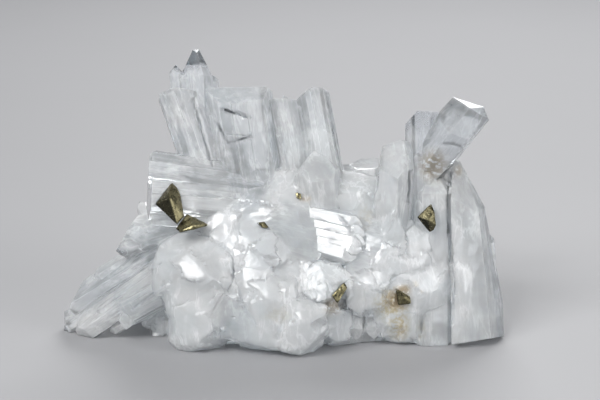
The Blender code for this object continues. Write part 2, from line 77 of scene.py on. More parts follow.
# How the crystals lie: foot, tip, width, how clear and how streaked each one is.
crystals = {
    "crown": ((-20, 44, -5), (-20.8, 60.7, -6.5), 5.6, 0.95, 0.3),
    "crownLeft": ((-24, 44, -5), (-25, 57.6, -7), 2.2, 1.0, 0.1),
    "crownMiddle": ((-21.9, 44, -5), (-23.2, 57, -7), 2.7, 1.0, 0.1),
    "crownEdge": ((-16.4, 44, -4), (-17.6, 55.6, -5), 2.2, 0.9, 0.2),
    "leftBlock": ((-15.1, 26, -5), (-25.8, 57, -9), 8.4, 0.6, 0.8),
    "middleBlock": ((-8.6, 26, -5), (-13.2, 57, -8), 12.6, 0.65, 0.7),
    "betweenBlock": ((1.2, 26, -6), (-4.8, 57, -8), 5.6, 0.55, 0.7),
    "rightBlock": ((7, 26, -6), (1.2, 57, -8), 6.2, 0.6, 0.9),
    "innerPeak": ((5.6, 16, -6), (2.8, 40.6, -10.6), 8.6, 0.4, 0.3),
    "chisel": ((18.4, 16, -9.5), (20, 42.6, -9.6), 7.0, 0.5, 0.4),
    "greatPoint": ((22.5, 33, -2), (33, 47, -16), 7.4, 0.8, 0.3),
    "rearPoint": ((24.8, 22, -5), (24.6, 51, -7), 6.2, 0.92, 0.2),
    "greatPrism": ((26.2, -2, -5), (26.4, 37.6, -6.2), 8.8, 0.4, 0.6),
    "rearPrism": ((29.6, 10, 0), (29.2, 38.4, -2.4), 6.0, 0.5, 0.4),
    "shoulder": ((34.5, 0, -5), (33, 38, -5), 9.0, 0.5, 0.7),
    "edge": ((39.4, 2, -5), (37, 29, -6), 4.0, 0.7, 0.7),
    "corner": ((38.6, -2, -3), (36.6, 24.6, -4), 4.0, 0.7, 0.5),
    "saddleLeft": ((10, 22, -3), (9.2, 38, -4), 5.4, 0.3, 0.3),
    "saddleRight": ((14, 22, -3), (13.4, 38, -4), 6.4, 0.3, 0.3),
    "wingRidge": ((-24, 25.6, -5), (-41.4, 14.4, -4), 3.0, 0.5, 0.5),
    "wingUpper": ((-24, 22.5, -6), (-48, 7.6, -1), 6.4, 0.65, 0.7),
    "wingGrey": ((-24, 19.5, -8), (-48, 4.8, 0), 4.4, 0.9, 0.3),
    "wingBright": ((-22, 19.6, -11), (-44.6, 3.6, -3), 5.0, 0.35, 0.8),
    "wingLower": ((-20, 17.5, -9), (-38.2, 7.4, -4.6), 7.6, 0.5, 0.7),
    "wingClear": ((-29, 22.5, -6), (-36.8, 20.4, -9), 3.4, 0.95, 0.1),
    "wingShoulder": ((-22, 26.4, -5), (-35.6, 22.6, -8), 6.5, 0.6, 0.4),
    "wingFoot": ((-33.6, 12, -5), (-34.8, 4.6, -8), 3.6, 0.4, 0.2),
    "sideUpper": ((2, 32.4, -5), (-31, 37, -9.4), 7.2, 0.5, 0.8),
    "sideMiddle": ((4, 29.4, -4), (-31, 31.7, -9), 8.6, 0.4, 0.8),
    "sideLower": ((2, 26, -4), (-31, 28.3, -8.4), 6.0, 0.35, 0.6),
    "laths": ((-2, 25.4, -10.4), (12, 21.8, -14.6), 10.0, 0.45, 0.9),
    "tanLeft": ((11.2, 16, -8), (11.2, 2.6, -9.6), 3.4, 0.3, 0.3),
    "tanRight": ((14.6, 16, -8), (14.8, 2.8, -9.6), 3.8, 0.3, 0.3),
    "backLeft": ((-20, 14, 2), (-26.4, 31, 10.5), 8.6, 0.4, 0.6),
    "backTall": ((-10, 22, 0), (-17.6, 49, 1.6), 8.4, 0.5, 0.7),
    "backWide": ((-8, 12, 4), (-12.6, 36.6, 15.4), 11.0, 0.35, 0.6),
    "backMiddle": ((-2, 20, 2), (-3.4, 44.4, 4.8), 8.0, 0.45, 0.6),
    "backLow": ((0, 8, 4), (0.6, 26.6, 19), 9.0, 0.4, 0.6),
    "backSlant": ((6, 14, 3), (8.4, 34.6, 12.6), 8.0, 0.5, 0.6),
    "backRight": ((14, 10, 2), (17.6, 31.4, 14), 9.6, 0.35, 0.6),
    "backStout": ((24, 8, 2), (26.8, 33, 8.4), 9.6, 0.4, 0.6),
    "backCorner": ((30, 8, 2), (35.6, 20.6, 12), 8.0, 0.5, 0.6),
    "backSpur": ((21, 12, 4), (22.6, 21, 19), 5.6, 0.6, 0.4),
    "backWing": ((-26, 12, 2), (-40.4, 12.4, 7.4), 6.4, 0.5, 0.6),
    "backWingLow": ((-22, 9, 4), (-34.2, 8.4, 13), 7.0, 0.4, 0.6),
    "backFootLeft": ((-16, 10, 6), (-19.4, 13.6, 19), 9.0, 0.3, 0.4),
    "backFootRight": ((12, 8, 6), (11.4, 13.4, 19.6), 10.0, 0.3, 0.4),
    "backSaddle": ((10, 22, 0), (11.4, 37.4, 6.4), 7.0, 0.5, 0.5),
}

# The rounded and broken masses: middle, half sizes across, up and in depth, how clear, how soft.
masses = {
    "leftDome": ((-21, 17, -9), (8.5, 7, 9), 0.25, 1.0),
    "leftFoot": ((-21, 6, -9), (6.5, 6.5, 8), 0.25, 1.0),
    "darkFace": ((-12.5, 6, -11), (4, 6.5, 7), 0.5, 1.0),
    "brightFace": ((-6.5, 9.5, -12), (7, 8.5, 7), 0.25, 1.0),
    "frostedLump": ((-8, 21, -9), (6, 5, 7.5), 0.3, 1.0),
    "middleMass": ((-2, 27, -5), (12, 10.5, 8), 0.2, 1.0),
    "sparklingPoint": ((5.2, 14, -11), (5, 4.5, 7), 0.6, 0.9),
    "frontFoot": ((0.5, 5, -13), (5, 6, 7), 0.25, 1.0),
    "footBlock": ((7.5, 5.5, -8), (3, 4.5, 8), 0.3, 0.6),
    "cheek": ((17.5, 16.5, -7.5), (9, 10.5, 8.5), 0.25, 1.0),
    "cheekFoot": ((19.6, 5, -7), (4.8, 4, 6.5), 0.25, 0.8),
    "saddleFront": ((11, 29, -6), (5.5, 8, 7), 0.25, 0.8),
    "innerLeft": ((-14, 18, 0), (15, 12, 13), 0.2, 0.5),
    "innerRight": ((16, 16, 0), (19, 12, 13), 0.2, 0.5),
    "innerUpper": ((-7, 29, 1), (14, 8, 9), 0.2, 0.5),
}

# Cracks and dark seams as they run in the front view: across and up in mm, then how wide, how deep
# and how dark each one is, and how far back it still reaches.
cracks = {
    "capUpper": (((-15.6, 48.8), (-12.6, 48.0), (-10.0, 47.0)), 0.22, 0.20, 0.8, -4),
    "capLower": (((-16.4, 45.6), (-14.6, 41.8), (-9.6, 43.4)), 0.34, 0.2, 0.95, -4),
    "blockSeam": (((-21.2, 50.6), (-19.2, 43.6), (-17.6, 37.8)), 0.42, 0.2, 0.5, -4),
    "blockInner": (((-5.2, 50.6), (-3.6, 43.4), (-2.6, 37.4)), 0.24, 0.15, 0.15, -4),
    "rightSeam": (((5.6, 51.4), (6.8, 44.0), (7.4, 40.4)), 0.26, 0.15, 0.5, -3),
    "prismSeam": (((30.2, 36.2), (29.6, 30.4), (29.9, 24.0)), 0.38, 0.3, 0.8, -2),
    "prismSeamLow": (((29.9, 24.0), (30.4, 15.0), (30.6, 6.0)), 0.3, 0.25, 0.15, -2),
    "prismSlit": (((22.2, 36.4), (22.0, 33.0), (21.8, 30.0)), 0.34, 0.30, 0.9, -3),
    "shoulderLine": (((36.0, 27.6), (37.2, 19.0), (38.0, 11.6)), 0.18, 0.12, 0.25, -2),
    "frostHole": (((0.5, 11.9), (1.0, 11.3)), 0.4, 0.25, 0.9, -6),
    "pointEdge": (((37.8, 46.4), (31.8, 38.6), (27.4, 34.6)), 0.24, 0.10, 0.9, -2),
    "pointFlaw": (((28.6, 42.0), (30.4, 41.6), (32.0, 41.0)), 0.18, 0.08, 0.6, -2),
    "sideLineUpper": (((-25.6, 36.2), (-16.0, 35.4), (-8.0, 33.6)), 0.18, 0.12, 0.12, -3),
    "sideLineLower": (((-22.0, 31.6), (-14.0, 31.0), (-6.0, 29.4)), 0.18, 0.12, 0.1, -3),
    "domeSeam": (((-19.0, 23.6), (-14.4, 20.6), (-13.6, 15.6), (-12.0, 10.6), (-9.0, 5.6)),
                 0.30, 0.25, 0.08, -4),
    "domeBranch": (((-15.0, 12.2), (-17.4, 8.2), (-17.0, 3.0)), 0.26, 0.2, 0.05, -4),
    "footSeam": (((-4.2, 14.0), (-3.0, 8.6), (-4.4, 3.0)), 0.28, 0.2, 0.08, -5),
    "archSeam": (((15.6, 13.2), (20.0, 15.6), (25.0, 16.6)), 0.22, 0.15, 0.05, -4),
    "cheekSeam": (((8.4, 27.0), (13.0, 20.6), (15.4, 14.0)), 0.24, 0.15, 0.0, -4),
    "tanSeam": (((12.8, 12.6), (12.9, 8.0), (12.6, 4.0)), 0.26, 0.22, 0.3, -3),
    "wingSeamUpper": (((-28.0, 17.8), (-36.0, 11.8), (-43.6, 6.2)), 0.22, 0.2, 0.15, -2),
    "wingSeamLower": (((-26.0, 14.4), (-33.6, 8.6)), 0.22, 0.2, 0.12, -3),
}

# Stained places in the front view: across, up, half width, half height and how strong.
stains = {
    "pointBase": (26.6, 37.6, 2.8, 3.0, 0.75),
    "goldUnder": (6.6, 9.4, 1.9, 1.7, 0.7),
    "tanPatch": (19.4, 10.6, 2.2, 2.0, 1.0),
    "tanUpper": (20.6, 12.6, 1.5, 1.0, 1.0),
    "tanTail": (20.4, 5.0, 1.0, 1.6, 0.6),
    "spotUpper": (23.2, 13.8, 0.5, 0.4, 0.8),
    "spotRight": (24.2, 12.2, 0.4, 0.4, 0.7),
    "speckTail": (0.9, 30.9, 1.2, 0.5, 0.8),
    "prismBit": (31.6, 36.4, 0.8, 1.2, 0.6),
}

# Creamy places in the front view, in the same way.
creams = {
    "tanTriangle": (18.4, 9.6, 3.0, 3.0, 1.0),
    "footCream": (19.8, 5.6, 2.0, 2.8, 1.0),
    "middleCream": (13.2, 27.0, 1.5, 2.8, 0.35),
    "brightFoot": (-4.6, 7.6, 2.6, 1.4, 0.3),
    "lowerStreak": (24.2, 4.6, 0.9, 2.0, 0.4),
}


def noiseAt(points, size, seed=0):
    # smooth noise from about -1 to 1, with lumps of that size in mm
    where = points / size + seed * np.array((17.31, -9.17, 5.73))
    cell = np.floor(where).astype(np.int64)
    part = where - cell
    ease = part ** 3 * (part * (part * 6 - 15) + 10)
    total = np.zeros(len(points))
    for corner in np.ndindex(2, 2, 2):
        spins = randomAt(cell + corner, seed)
        share = np.prod(np.where(corner, ease, 1 - ease), 1)
        total += share * np.sum((part - corner) * spins, 1)
    return total * 1.4


def randomAt(cells, seed=0):
    # three repeatable numbers from -1 to 1 for each cell of a grid
    mixture = (cells[:, 0] * 73856093) ^ (cells[:, 1] * 19349663) ^ (cells[:, 2] * 83492791)
    mixture = mixture ^ (seed * 2654435)
    found = []
    for k in range(3):
        mixture = (mixture * 1103515245 + 12345 + k * 7919) & 0x7fffffff
        mixture ^= mixture >> 13
        found.append((mixture & 0xffff) / 32767.5 - 1)
    return np.stack(found, 1)


facetStray = 0.45  # how far the middle of a facet strays from an even grid, 0.5 for half a facet
facetsTried = 5
facetReach = 1.7  # a facet this many times as far off as the nearest one no longer counts
leastFacing = 0.35  # a facet only counts for a point that faces roughly the same way


def planesOf(points, normals, size, lean, seed):
    # flat facets for a stone: the surface in each cell of a loose grid gives one leaning plane
    cell = np.floor(points / size).astype(np.int64)
    nearest = np.full(len(points), np.inf)
    chosen = np.zeros_like(cell)
    for step in np.ndindex(3, 3, 3):
        near = cell + np.array(step) - 1
        reach = np.sum((points / size - near - 0.5 - facetStray * randomAt(near, seed)) ** 2, 1)
        closer = reach < nearest
        nearest[closer] = reach[closer]
        chosen[closer] = near[closer]
    cells, owner = np.unique(chosen, axis=0, return_inverse=True)
    owner = owner.reshape(-1)
    members = np.bincount(owner, minlength=len(cells))[:, None]
    middles = gathered(points, owner, len(cells)) / members
    directions = unit(unit(gathered(normals, owner, len(cells))) + lean * randomAt(cells, seed + 50))
    return middles, directions


def rise(points, normals, middles, directions):
    # how far each point is from its plane along its own direction
    across = np.sum(normals * directions, 1)
    height = np.sum((middles - points) * directions, 1)
    return np.where(across > leastFacing, height / np.maximum(across, leastFacing), 0)


def faceting(points, normals, planes):
    # the height that brings each point onto its facet, and which facet that is
    middles, directions = planes
    tree = KDTree(len(middles))
    for k, middle in enumerate(middles.tolist()):
        tree.insert(middle, k)
    tree.balance()
    found = np.array([[(k, gap) for _, k, gap in tree.find_n(point, facetsTried)]
                      for point in points.tolist()])
    order = found[:, :, 0].astype(int)
    near = found[:, :, 1]
    active = order[:, 0].copy()
    height = rise(points, normals, middles[active], directions[active])
    for k in range(1, facetsTried):
        other = order[:, k]
        otherHeight = rise(points, normals, middles[other], directions[other])
        bulge = np.sum((middles[other] - middles[active]) * (directions[active] - directions[other]), 1) < 0
        beside = near[:, k] < facetReach * near[:, 0]
        beside &= np.sum(normals * directions[other], 1) > leastFacing
        take = beside & np.where(bulge, otherHeight < height, otherHeight > height)
        active = np.where(take, other, active)
        height = np.where(take, otherHeight, height)
    return height, active


def creaseSlide(points, normals, edges, planes, active, reach):
    # moves points along an edge onto the crease between two facets
    middles, directions = planes
    a, b = edges[:, 0], edges[:, 1]
    a, b = a[active[a] != active[b]], b[active[a] != active[b]]
    first, second = active[a], active[b]
    fromA = (rise(points[a], normals[a], middles[first], directions[first])
             - rise(points[a], normals[a], middles[second], directions[second]))
    fromB = (rise(points[b], normals[b], middles[first], directions[first])
             - rise(points[b], normals[b], middles[second], directions[second]))
    crossing = fromA * fromB < 0
    a, b, fromA, fromB = a[crossing], b[crossing], fromA[crossing], fromB[crossing]
    share = fromA / (fromA - fromB)
    mover = np.where(share < 0.5, a, b)
    travel = np.where(share < 0.5, share, share - 1)[:, None] * (points[b] - points[a])
    far = np.linalg.norm(travel, axis=1)
    order = np.argsort(-far)
    order = order[far[order] < reach]
    slid = points.copy()
    slid[mover[order]] = (points[mover] + travel)[order]
    return slid


def alongLines(layout, line):
    # how far each point is from a run of straight lines in the front view
    nearest = np.full(len(layout), np.inf)
    for low, high in zip(np.array(line), np.array(line[1:])):
        reach = np.abs(layout[:, :2] - (low + high) / 2) < np.abs(high - low) / 2 + 1.0
        near = np.flatnonzero(reach.all(1))
        offset = layout[near, :2] - low
        part = np.clip(offset @ (high - low) / ((high - low) @ (high - low)), 0, 1)
        gap = np.linalg.norm(offset - part[:, None] * (high - low), axis=1)
        nearest[near] = np.minimum(nearest[near], gap)
    return nearest


def weldedNode(name):
    # a node of the frame as points in mm and flat-face triangles
    body = bmesh.new()
    body.from_mesh(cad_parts[name].data)
    bmesh.ops.remove_doubles(body, verts=body.verts[:], dist=1e-6)
    bmesh.ops.dissolve_limit(body, angle_limit=math.radians(1), verts=body.verts[:], edges=body.edges[:])
    bmesh.ops.triangulate(body, faces=body.faces[:], quad_method="BEAUTY", ngon_method="BEAUTY")
    body.verts.index_update()
    points = np.array([v.co for v in body.verts]) / mm
    triangles = np.array([[v.index for v in f.verts] for f in body.faces])
    body.free()
    return points, triangles


def splitLongEdges(points, triangles, longestAt):
    # one round of halving each edge that is longer than is wanted there
    sides = np.stack((triangles, np.roll(triangles, -1, 1)), 2).reshape(-1, 2)
    sides.sort(1)
    edges, edgeOf = np.unique(sides, axis=0, return_inverse=True)
    edgeOf = edgeOf.reshape(-1, 3)
    ends = points[edges]
    middles = ends.mean(1)
    tooLong = np.linalg.norm(ends[:, 0] - ends[:, 1], axis=1) > longestAt(middles)
    middleOf = np.full(len(edges), -1)
    middleOf[tooLong] = len(points) + np.arange(tooLong.sum())
    points = np.concatenate((points, middles[tooLong]))
    new = middleOf[edgeOf]
    cuts = (new >= 0).sum(1)
    turn = np.zeros(len(triangles), int)  # turned so that a lone cut, or a lone whole edge, is first
    for k in range(3):
        turn[(cuts == 1) & (new[:, k] >= 0)] = k
        turn[(cuts == 2) & (new[:, k] < 0)] = k
    order = (turn[:, None] + np.arange(3)) % 3
    a, b, c = np.take_along_axis(triangles, order, 1).T
    ab, bc, ca = np.take_along_axis(new, order, 1).T
    pieces = [triangles[cuts == 0]]
    one, two, three = cuts == 1, cuts == 2, cuts == 3
    for corners, which in (((a, ab, c), one), ((ab, b, c), one), ((bc, c, ca), two),
                           ((a, ab, ca), three), ((ab, b, bc), three), ((ca, bc, c), three),
                           ((ab, bc, ca), three)):
        pieces.append(np.stack(corners, 1)[which])
    slant = np.linalg.norm(points[a] - points[bc], axis=1) < np.linalg.norm(points[b] - points[ca], axis=1)
    for corners, which in (((a, b, bc), two & slant), ((a, bc, ca), two & slant),
                           ((a, b, ca), two & ~slant), ((b, bc, ca), two & ~slant)):
        pieces.append(np.stack(corners, 1)[which])
    return points, np.concatenate(pieces)


def facing(points, triangles):
    # the direction of each triangle, as long as twice its area
    a, b, c = (points[triangles[:, k]] for k in range(3))
    return np.cross(b - a, c - a)


def unit(vectors):
    return vectors / np.maximum(np.linalg.norm(vectors, axis=1), 1e-12)[:, None]


def gathered(values, owners, count):
    # sums of the rows of values that belong to each owner
    return np.stack([np.bincount(owners, values[:, k], count) for k in range(values.shape[1])], 1)


def neighbourMean(points, edges):
    both = np.concatenate((edges, edges[:, ::-1]))
    total = gathered(points[both[:, 1]], both[:, 0], len(points))
    return total / np.maximum(np.bincount(both[:, 0], minlength=len(points)), 1)[:, None]


def edgesOf(triangles):
    sides = np.stack((triangles, np.roll(triangles, -1, 1)), 2).reshape(-1, 2)
    sides.sort(1)
    return np.unique(sides, axis=0)


def evenedOut(points, triangles, rounds):
    # slides the points that lie inside a flat face towards the middle of their neighbours
    edges = edgesOf(triangles)
    directions = unit(facing(points, triangles))
    owners = triangles.reshape(-1)
    total = gathered(np.repeat(directions, 3, 0), owners, len(points))
    inside = np.linalg.norm(total, axis=1) > 0.99999 * np.bincount(owners, minlength=len(points))
    for _ in range(rounds):
        moved = neighbourMean(points, edges)
        points = np.where(inside[:, None], points * 0.5 + moved * 0.5, points)
    return points


def pointNormals(points, triangles):
    directions = facing(points, triangles)
    return unit(gathered(np.repeat(directions, 3, 0), triangles.reshape(-1), len(points)))


def sharpness(points, triangles, normals):
    # how far the triangles around each point turn away from its own direction, 0 on a flat face
    directions = unit(facing(points, triangles))
    owners = triangles.reshape(-1)
    turned = 1 - np.sum(np.repeat(directions, 3, 0) * normals[owners], 1)
    around = np.bincount(owners, minlength=len(points))
    return np.bincount(owners, turned, len(points)) / np.maximum(around, 1)


def ownersOf(points):
    # for each point, its value in every crystal and mass: about 1 on the surface of its own
    layout = layoutOf(points)
    values = []
    for foot, tip, width, *_ in crystals.values():
        low, high = spot(*foot), spot(*tip)
        along = high - low
        share = np.clip((points - low) @ along / (along @ along), 0, 1)
        values.append(np.linalg.norm(points - low - share[:, None] * along, axis=1) / (width / 2))
    for middle, half, *_ in masses.values():
        values.append(np.linalg.norm((layout - middle) / half, axis=1))
    return np.stack(values, 1)


def objectOf(name, points, triangles, finish):
    mesh = bpy.data.meshes.new(name)
    mesh.from_pydata((points * mm).tolist(), [], triangles.tolist())
    mesh.materials.append(finish)
    made = bpy.data.objects.new(name, mesh)
    bpy.context.scene.collection.objects.link(made)
    return made


def smoothed(mesh, sharpAngle):
    # shades it smooth, apart from the edges that turn more than that
    mesh.shade_smooth()
    mesh.set_sharp_from_angle(angle=math.radians(sharpAngle))


def paint(mesh, name, values, domain="POINT"):
    # keeps one value or one direction for each point or face
    kind = "FLOAT_VECTOR" if values.ndim == 2 else "FLOAT"
    layer = mesh.attributes.new(name, kind, domain)
    layer.data.foreach_set("vector" if values.ndim == 2 else "value", values.astype(np.float32).ravel())


# Finishes

def newFinish(name):
    finish = bpy.data.materials.new(name)
    finish.use_nodes = True
    return finish, finish.node_tree, finish.node_tree.nodes["Principled BSDF"]


def add(tree, kind, settings=None, **sockets):
    # a node with its settings, and its sockets set or linked
    node = tree.nodes.new(kind)
    for key, value in (settings or {}).items():
        setattr(node, key, value)
    for key, value in sockets.items():
        socket = node.inputs[int(key[1:])] if key[0] == "i" and key[1:].isdigit() else node.inputs[key]
        if isinstance(value, bpy.types.NodeSocket):
            tree.links.new(value, socket)
        else:
            socket.default_value = value
    return node


def maths(tree, operation, a, b, clamp=False):
    return add(tree, "ShaderNodeMath", {"operation": operation, "use_clamp": clamp}, i0=a, i1=b).outputs[0]


def times(tree, a, b):
    return maths(tree, "MULTIPLY", a, b)


def plus(tree, value, a, b, clamp=False):
    # the value with a times b added
    return maths(tree, "ADD", value, times(tree, a, b), clamp)


def ranged(tree, value, low, high, toLow=0.0, toHigh=1.0):
    return add(tree, "ShaderNodeMapRange", {"clamp": True}, i0=value, i1=low, i2=high, i3=toLow,
               i4=toHigh).outputs[0]


def mixed(tree, share, a, b):
    node = tree.nodes.new("ShaderNodeMix")
    node.data_type = "RGBA"
    for socket, value in ((node.inputs[0], share), (node.inputs[6], a), (node.inputs[7], b)):
        if isinstance(value, bpy.types.NodeSocket):
            tree.links.new(value, socket)
        else:
            socket.default_value = (*value, 1) if hasattr(value, "__len__") and len(value) == 3 else value
    return node.outputs[2]


def grain(tree, where, size, detail=4.0, rough=0.55, distort=0.0):
    # noise with lumps of that size in mm
    node = add(tree, "ShaderNodeTexNoise", None, Vector=where, Scale=1 / size, Detail=detail,
               Roughness=rough, Distortion=distort)
    return node.outputs["Fac"]


def placeInMm(tree):
    where = add(tree, "ShaderNodeTexCoord").outputs["Object"]
    return add(tree, "ShaderNodeVectorMath", {"operation": "SCALE"}, i0=where, i3=1 / mm).outputs[0]


def painted(tree, name, output="Fac"):
    return add(tree, "ShaderNodeAttribute", {"attribute_name": name}).outputs[output]


def alongAxis(tree, where, squeeze):
    # the same place squeezed along the crystal's length, and how far along it is
    axis = painted(tree, "axis", "Vector")
    dot = add(tree, "ShaderNodeVectorMath", {"operation": "DOT_PRODUCT"}, i0=where, i1=axis)
    along = dot.outputs["Value"]
    part = times(tree, along, -squeeze)
    shift = add(tree, "ShaderNodeVectorMath", {"operation": "SCALE"}, i0=axis, i3=part).outputs[0]
    return add(tree, "ShaderNodeVectorMath", {"operation": "ADD"}, i0=where, i1=shift).outputs[0], along


quartzLook = {
    "ior": 1.544,
    "coolWhite": (0.90, 0.925, 0.945),
    "warmWhite": (0.95, 0.945, 0.93),
    "grey": (0.86, 0.885, 0.915),  # what the clearest crystals turn to
    "stain": (0.33, 0.26, 0.16),
    "cream": (0.74, 0.66, 0.47),
    "deep": (0.10, 0.11, 0.12),  # inside the cracks
    "creamSize": 0.7,  # sizes are in mm
    "rustSize": 1.1,
    "warmthSize": 9,
    "milkiness": 0.6,  # how milky the cloudiest quartz is
    "seeThrough": 0.97,  # the most light that passes
    "cloudSize": 7.0,
    "cloudiness": 0.35,
    "fibreSqueeze": 0.9,  # how far wisps and lines are drawn out along a crystal, 1 without end
    "foldSqueeze": 0.72,
    "wispSize": 1.1,
    "wisps": 0.08,
    "veilSize": 2.6,
    "veils": 0.15,
    "foldWidth": 0.06,
    "frostMilk": 0.3,
    "rims": 0.10,  # how white the sharp edges are: worn white edges and a painted bright rim
    "tintMilk": 0.6,  # how much a stain or a crack hides what is behind it
    "polish": 0.03,
    "milkRoughness": 0.08,
    "satin": 0.18,  # how much rougher the broken masses are
    "bump": 0.22,
    "bumpDepth": 0.00015,  # in metres
    "bandSize": 0.35,  # growth bands across each crystal
    "bandHeight": 0.35,
    "lineSize": 0.45,  # lines along each crystal
    "brokenSize": 0.9,  # grain of the broken masses
    "brokenHeight": 1.3,
    "swellSize": 1.6,
    "swellHeight": 0.15,
    "frostSize": 0.28,
    "frostHeight": 1.2,
    "glow": 0.0025,  # how far light spreads under the surface, in metres
    "absorbed": (0.72, 0.84, 0.92),
    "absorption": 12.0,
}


def milkOf(tree, where, fibres, cloud):
    # how milky the quartz is: clouds, wisps along the crystal, thin folded veils, frost and stains
    look = quartzLook
    clouded = maths(tree, "SUBTRACT", cloud, 0.5)
    wisps = ranged(tree, grain(tree, fibres, look["wispSize"], 3, 0.6, 0.3), 0.50, 0.66)
    slant = alongAxis(tree, where, look["foldSqueeze"])[0]
    fold = maths(tree, "SUBTRACT", grain(tree, slant, look["veilSize"], 4, 0.6, 0.45), 0.5)
    thin = ranged(tree, maths(tree, "ABSOLUTE", fold, 0.0), 0.0, look["foldWidth"], 1.0, 0.0)
    folds = times(tree, thin, ranged(tree, cloud, 0.42, 0.6))
    tinted = maths(tree, "MAXIMUM", painted(tree, "stain"), painted(tree, "deep"))
    milk = times(tree, maths(tree, "SUBTRACT", 1.0, painted(tree, "clear")), look["milkiness"])
    milk = plus(tree, milk, clouded, look["cloudiness"])
    milk = plus(tree, milk, times(tree, wisps, painted(tree, "streak")), look["wisps"])
    milk = plus(tree, milk, painted(tree, "frost"), look["frostMilk"])
    milk = plus(tree, milk, folds, look["veils"])
    # sharp crystal edges turn whiter: worn white edges and a painted bright rim
    milk = plus(tree, milk, painted(tree, "rim"), look["rims"])
    return plus(tree, milk, tinted, look["tintMilk"], clamp=True)


def quartzColour(tree, where):
    look = quartzLook
    fine = ranged(tree, grain(tree, where, look["creamSize"], 2, 0.6), 0.35, 0.6)
    rust = ranged(tree, grain(tree, where, look["rustSize"], 5), 0.36, 0.50)
    warmth = ranged(tree, grain(tree, where, look["warmthSize"], 3), 0.42, 0.62)
    colour = mixed(tree, warmth, look["coolWhite"], look["warmWhite"])
    colour = mixed(tree, ranged(tree, painted(tree, "clear"), 0.35, 1.0), colour, look["grey"])
    colour = mixed(tree, times(tree, painted(tree, "cream"), fine), colour, look["cream"])
    colour = mixed(tree, times(tree, painted(tree, "stain"), rust), colour, look["stain"])
    return mixed(tree, painted(tree, "deep"), colour, look["deep"])


def quartzRelief(tree, where, fibres, along):
    # growth bands across and lines along each crystal, grain on the broken masses and on the frost
    look = quartzLook
    across = add(tree, "ShaderNodeCombineXYZ", None, X=along).outputs[0]
    bands = grain(tree, across, look["bandSize"], 3, 0.6)
    lines = grain(tree, fibres, look["lineSize"], 2, 0.6)
    broken = times(tree, grain(tree, where, look["brokenSize"], 3, 0.6), painted(tree, "satin"))
    swell = grain(tree, where, look["swellSize"], 2, 0.5, 0.5)
    frost = times(tree, grain(tree, where, look["frostSize"], 3, 0.6), painted(tree, "frost"))
    relief = times(tree, plus(tree, lines, bands, look["bandHeight"]), painted(tree, "streak"))
    relief = plus(tree, relief, broken, look["brokenHeight"])
    relief = plus(tree, relief, swell, look["swellHeight"])
    return plus(tree, relief, frost, look["frostHeight"])


def quartzFinish():
    look = quartzLook
    finish, tree, shader = newFinish("growingQuartz")
    where = placeInMm(tree)
    fibres, along = alongAxis(tree, where, look["fibreSqueeze"])
    cloud = grain(tree, where, look["cloudSize"], 3, 0.55, 0.4)
    milk = milkOf(tree, where, fibres, cloud)
    clearness = times(tree, maths(tree, "SUBTRACT", 1.0, milk), look["seeThrough"])
    rough = ranged(tree, milk, 0.1, 0.9, look["polish"], look["polish"] + look["milkRoughness"])
    rough = plus(tree, rough, painted(tree, "satin"), look["satin"], clamp=True)
    bump = add(tree, "ShaderNodeBump", None, Strength=look["bump"], Distance=look["bumpDepth"],
               Height=quartzRelief(tree, where, fibres, along))
    tree.links.new(clearness, shader.inputs["Transmission Weight"])
    tree.links.new(quartzColour(tree, where), shader.inputs["Base Color"])
    tree.links.new(rough, shader.inputs["Roughness"])
    tree.links.new(bump.outputs[0], shader.inputs["Normal"])
    shader.inputs["IOR"].default_value = look["ior"]
    shader.inputs["Subsurface Weight"].default_value = 1.0
    shader.inputs["Subsurface Radius"].default_value = (1.0, 1.0, 1.0)
    shader.inputs["Subsurface Scale"].default_value = look["glow"]
    inner = add(tree, "ShaderNodeVolumeAbsorption", None, Color=(*look["absorbed"], 1),
                Density=look["absorption"])
    tree.links.new(inner.outputs[0], tree.nodes["Material Output"].inputs["Volume"])
    return finish


pyriteLook = {
    "gold": (0.36, 0.32, 0.18),
    "olive": (0.17, 0.155, 0.09),
    # near-black for the tarnish patches and for the painted shade
    "tarnishAndShade": (0.030, 0.029, 0.022),
    "spark": (0.85, 0.77, 0.50),
}


def pyriteFinish():
    look = pyriteLook
    finish, tree, shader = newFinish("brassyPyrite")
    where = placeInMm(tree)
    # the tarnish layer holds painted shade on faces turned from the bright side, with each crystal's extra
    # darkness
    shade = painted(tree, "tarnishAndShade")
    patches = grain(tree, where, 0.8, 5, 0.6, 0.4)
    colour = mixed(tree, ranged(tree, patches, 0.4, 0.6), look["olive"], look["gold"])
    dark = plus(tree, shade, maths(tree, "SUBTRACT", patches, 0.5), 1.2, clamp=True)
    colour = mixed(tree, dark, colour, look["tarnishAndShade"])
    speck = add(tree, "ShaderNodeTexVoronoi", {"feature": "F1"}, Vector=where, Scale=4.4)
    spark = ranged(tree, speck.outputs["Distance"], 0.22, 0.12)
    spark = times(tree, spark, ranged(tree, patches, 0.5, 0.56))
    colour = mixed(tree, spark, colour, look["spark"])
    tree.links.new(colour, shader.inputs["Base Color"])
    shader.inputs["Metallic"].default_value = 1.0
    tree.links.new(ranged(tree, patches, 0.3, 0.7, 0.18, 0.42), shader.inputs["Roughness"])
    relief = plus(tree, grain(tree, where, 0.35, 4), spark, 0.5)
    bump = add(tree, "ShaderNodeBump", None, Strength=0.6, Distance=0.00012, Height=relief)
    tree.links.new(bump.outputs[0], shader.inputs["Normal"])
    return finish


# The quartz

